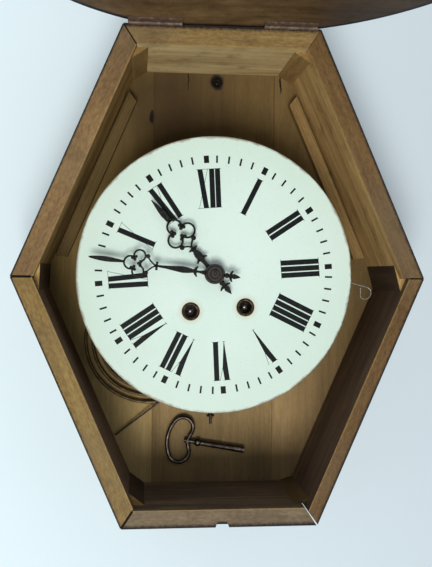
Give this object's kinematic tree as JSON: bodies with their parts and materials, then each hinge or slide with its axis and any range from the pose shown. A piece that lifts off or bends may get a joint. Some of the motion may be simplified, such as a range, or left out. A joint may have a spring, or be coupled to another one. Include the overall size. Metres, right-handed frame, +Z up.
{
  "type": "oeil de boeuf wall clock",
  "caption": "Hexagonal wooden wall clock case with an oval glazed door hinged at the top, a white Roman dial, pierced hands, striking movement, coiled gong, pendulum and key.",
  "frame": {"origin": "on the wall plane at the back board's rear face, at the middle of the hexagonal case", "axes": "+Z up as hung, the front faces -Y, +X to the viewer's right"},
  "size_m": [0.36, 0.5492, 0.4432],
  "materials": {
    "case_wood": "old softwood boards, brown inside and stained black outside",
    "back_wood": "dark aged planks",
    "block_wood": "rough sawn glue blocks",
    "ebonised_wood": "ebonised and polished",
    "door_wood": "brown inner face, ebonised edge",
    "milk_glass": "opaque white glass with painted numerals",
    "clear_glass": "clear",
    "brass": "aged brass",
    "dark_brass": "browned brass",
    "steel": "turned steel",
    "hand_steel": "black-brown bronzed steel",
    "gong_steel": "blued spring steel",
    "iron": "painted iron",
    "zinc_sheet": "dull sheet",
    "key_metal": "worn tinned steel"
  },
  "bodies": {
    "case": {"back_board": "back_wood", "top_board": "case_wood", "bottom_board": "case_wood", "upper_left_board": "case_wood", "upper_right_board": "case_wood", "lower_left_board": "case_wood", "lower_right_board": "case_wood", "corner_blocks": "block_wood", "battens": "block_wood", "case_hinge_leaves": "dark_brass", "hinge_pins": "steel", "hinge_screws": "steel", "movement_posts": "iron", "back_plate": "brass", "front_plate": "brass", "plate_pillars": "brass", "click_springs": "steel", "dial": "milk_glass", "dial_plate": "zinc_sheet", "winding_eyelets": "dark_brass", "suspension_cock": "brass", "gong_stand": "iron", "gong_coil": "gong_steel", "stay_wire": "steel"},
    "door": {"door_frame": "door_wood", "door_moulding": "ebonised_wood", "door_bezel": "brass", "door_glass": "clear_glass", "door_catch": "brass", "door_hinge_leaves": "dark_brass"},
    "minute_arbor": {"centre_arbor": "brass", "cannon_pinion": "steel", "minute_hand": "hand_steel", "hand_collet": "dark_brass"},
    "hour_arbor": {"hour_wheel": "brass", "hour_hand": "hand_steel"},
    "minute_wheel": {"minute_wheel": "brass"},
    "second_arbor": {"second_wheel": "brass"},
    "going_barrel": {"going_barrel": "brass", "going_mainspring": "gong_steel"},
    "third_arbor": {"third_wheel": "brass"},
    "escape_arbor": {"escape_wheel": "brass"},
    "anchor": {"anchor": "steel"},
    "pendulum": {"suspension_spring": "brass", "pendulum_rod": "steel", "pendulum_bob": "brass"},
    "rating_nut": {"rating_nut": "brass"},
    "going_winding_arbor": {"going_winding_arbor": "steel"},
    "strike_winding_arbor": {"strike_winding_arbor": "steel"},
    "going_click": {"going_click": "steel"},
    "strike_click": {"strike_click": "steel"},
    "pin_arbor": {"pin_wheel": "brass"},
    "strike_second_arbor": {"strike_second_wheel": "brass"},
    "strike_barrel": {"strike_barrel": "brass", "strike_mainspring": "gong_steel"},
    "locking_arbor": {"locking_wheel": "brass"},
    "fly": {"fly": "brass"},
    "hammer": {"hammer": "steel"},
    "repeat_lever": {"repeat_lever": "steel"},
    "key": {"winding_key": "key_metal"}
  },
  "joints": [
    {"name": "door_hinge", "type": "hinge", "parent": "case", "child": "door", "pos_m": [0, -0.10625, 0.207], "axis": [-1, 0, 0], "range_deg": [-90, 4]},
    {"name": "minute_turn", "type": "hinge", "parent": "case", "child": "minute_arbor", "pos_m": [-0.004, -0.042, 0.003], "axis": [0, 1, 0], "continuous": true},
    {"name": "hour_turn", "type": "hinge", "parent": "case", "child": "hour_arbor", "pos_m": [-0.004, -0.042, 0.003], "axis": [0, 1, 0], "continuous": true},
    {"name": "minute_wheel_turn", "type": "hinge", "parent": "case", "child": "minute_wheel", "pos_m": [-0.00492, -0.042, 0.01496], "axis": [0, 1, 0], "continuous": true},
    {"name": "second_turn", "type": "hinge", "parent": "case", "child": "second_arbor", "pos_m": [0.01202, -0.042, -0.00404], "axis": [0, 1, 0], "continuous": true},
    {"name": "going_barrel_turn", "type": "hinge", "parent": "case", "child": "going_barrel", "pos_m": [0.02341, -0.042, -0.0256], "axis": [0, 1, 0], "continuous": true},
    {"name": "third_turn", "type": "hinge", "parent": "case", "child": "third_arbor", "pos_m": [0.00627, -0.042, 0.016], "axis": [0, 1, 0], "continuous": true},
    {"name": "escape_turn", "type": "hinge", "parent": "case", "child": "escape_arbor", "pos_m": [-0.00005, -0.042, 0.03026], "axis": [0, 1, 0], "continuous": true},
    {"name": "pendulum_swing", "type": "hinge", "parent": "case", "child": "pendulum", "pos_m": [-0.00112, -0.042, 0.04422], "axis": [0, 1, 0], "range_deg": [-4.5, 4.5]},
    {"name": "anchor_rock", "type": "hinge", "parent": "case", "child": "anchor", "pos_m": [-0.00112, -0.042, 0.04422], "axis": [0, 1, 0], "range_deg": [-4.6, 4.6]},
    {"name": "rating_nut_turn", "type": "hinge", "parent": "pendulum", "child": "rating_nut", "pos_m": [-0.00112, -0.0193, -0.1266], "axis": [0, 0, 1], "continuous": true},
    {"name": "going_winding", "type": "hinge", "parent": "case", "child": "going_winding_arbor", "pos_m": [0.02341, -0.042, -0.0256], "axis": [0, 1, 0], "continuous": true},
    {"name": "strike_winding", "type": "hinge", "parent": "case", "child": "strike_winding_arbor", "pos_m": [-0.02365, -0.042, -0.02922], "axis": [0, 1, 0], "continuous": true},
    {"name": "going_click_rock", "type": "hinge", "parent": "case", "child": "going_click", "pos_m": [0.03568, -0.0605, -0.01563], "axis": [0, -1, 0], "range_deg": [0, 8], "stiffness_Nm_per_rad": 0.002, "springref_deg": -17.19},
    {"name": "strike_click_rock", "type": "hinge", "parent": "case", "child": "strike_click", "pos_m": [-0.0373, -0.0605, -0.02125], "axis": [0, 1, 0], "range_deg": [0, 8], "stiffness_Nm_per_rad": 0.002, "springref_deg": -17.19},
    {"name": "pin_wheel_turn", "type": "hinge", "parent": "case", "child": "pin_arbor", "pos_m": [-0.02806, -0.042, 0.00781], "axis": [0, 1, 0], "continuous": true},
    {"name": "strike_second_turn", "type": "hinge", "parent": "case", "child": "strike_second_arbor", "pos_m": [-0.03562, -0.042, -0.00798], "axis": [0, 1, 0], "continuous": true},
    {"name": "strike_barrel_turn", "type": "hinge", "parent": "case", "child": "strike_barrel", "pos_m": [-0.02365, -0.042, -0.02922], "axis": [0, 1, 0], "continuous": true},
    {"name": "locking_turn", "type": "hinge", "parent": "case", "child": "locking_arbor", "pos_m": [-0.02665, -0.042, 0.02214], "axis": [0, 1, 0], "continuous": true},
    {"name": "fly_turn", "type": "hinge", "parent": "case", "child": "fly", "pos_m": [-0.02168, -0.042, 0.03253], "axis": [0, 1, 0], "continuous": true},
    {"name": "hammer_lift", "type": "hinge", "parent": "case", "child": "hammer", "pos_m": [-0.05248, -0.042, -0.01168], "axis": [0, -1, 0], "range_deg": [0, 12], "stiffness_Nm_per_rad": 0.02, "springref_deg": -17.19},
    {"name": "repeat_pull", "type": "hinge", "parent": "case", "child": "repeat_lever", "pos_m": [0.03242, -0.0632, 0.01892], "axis": [0, 1, 0], "range_deg": [0, 8], "stiffness_Nm_per_rad": 0.05, "springref_deg": -17.19},
    {"name": "key_lift", "type": "slide", "parent": "case", "child": "key", "axis": [0, -1, 0], "range_m": [0, 0.05]}
  ],
  "couplings": [
    {"joint": "hour_turn", "follows": "minute_turn", "ratio": 0.083333},
    {"joint": "minute_wheel_turn", "follows": "minute_turn", "ratio": -0.33333},
    {"joint": "second_turn", "follows": "minute_turn", "ratio": -0.16667},
    {"joint": "going_barrel_turn", "follows": "minute_turn", "ratio": 0.025},
    {"joint": "third_turn", "follows": "minute_turn", "ratio": -10.5},
    {"joint": "escape_turn", "follows": "minute_turn", "ratio": 126},
    {"joint": "anchor_rock", "follows": "pendulum_swing", "ratio": 1},
    {"joint": "strike_second_turn", "follows": "pin_wheel_turn", "ratio": -0.16667},
    {"joint": "strike_barrel_turn", "follows": "pin_wheel_turn", "ratio": 0.025},
    {"joint": "locking_turn", "follows": "pin_wheel_turn", "ratio": -8},
    {"joint": "fly_turn", "follows": "pin_wheel_turn", "ratio": 56}
  ]
}
